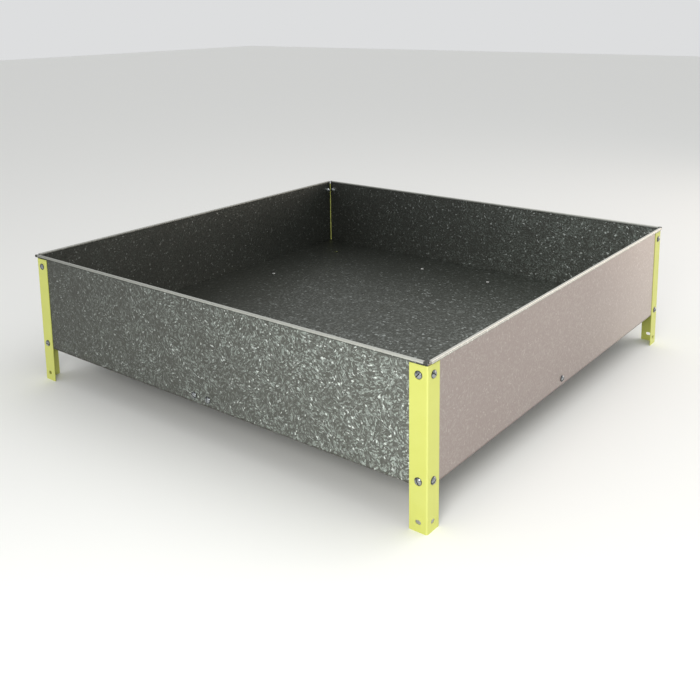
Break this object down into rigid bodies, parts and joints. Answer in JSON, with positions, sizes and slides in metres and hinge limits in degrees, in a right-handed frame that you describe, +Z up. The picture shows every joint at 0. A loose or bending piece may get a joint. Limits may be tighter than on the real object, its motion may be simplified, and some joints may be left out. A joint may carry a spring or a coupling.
{
  "type": "raised garden bed",
  "caption": "Square raised garden bed of galvanised sheet-steel panels bolted between lime green angle posts, with a tray floor held clear of the ground.",
  "frame": {"origin": "on the ground under the middle of the bed", "axes": "+X to the right along the front panel, +Y from the front panel to the back panel, +Z up"},
  "size_m": [1.212, 1.212, 0.34],
  "materials": {
    "galvanised_steel": "hot-dip galvanised sheet with a visible spangle",
    "lime_powder_coat": "lime green powder coat, satin",
    "zinc_plated_steel": "zinc-plated bolts, slightly dulled",
    "bright_zinc": "bright zinc-plated nuts"
  },
  "bodies": {
    "root": {"panel_front": "galvanised_steel", "panel_back": "galvanised_steel", "panel_left": "galvanised_steel", "panel_right": "galvanised_steel", "corner_post_front_left": "lime_powder_coat", "corner_post_front_right": "lime_powder_coat", "corner_post_back_left": "lime_powder_coat", "corner_post_back_right": "lime_powder_coat", "floor_tray_left": "galvanised_steel", "tray_stiffener_left": "galvanised_steel", "floor_tray_right": "galvanised_steel", "tray_stiffener_right": "galvanised_steel", "post_bolts_front_left": "zinc_plated_steel", "post_nuts_front_left": "bright_zinc", "post_bolts_front_right": "zinc_plated_steel", "post_nuts_front_right": "bright_zinc", "post_bolts_back_left": "zinc_plated_steel", "post_nuts_back_left": "bright_zinc", "post_bolts_back_right": "zinc_plated_steel", "post_nuts_back_right": "bright_zinc", "mid_bolts_front": "zinc_plated_steel", "mid_nuts_front": "bright_zinc", "mid_bolts_back": "zinc_plated_steel", "mid_nuts_back": "bright_zinc", "mid_bolts_left": "zinc_plated_steel", "mid_nuts_left": "bright_zinc", "mid_bolts_right": "zinc_plated_steel", "mid_nuts_right": "bright_zinc"}
  },
  "joints": []
}
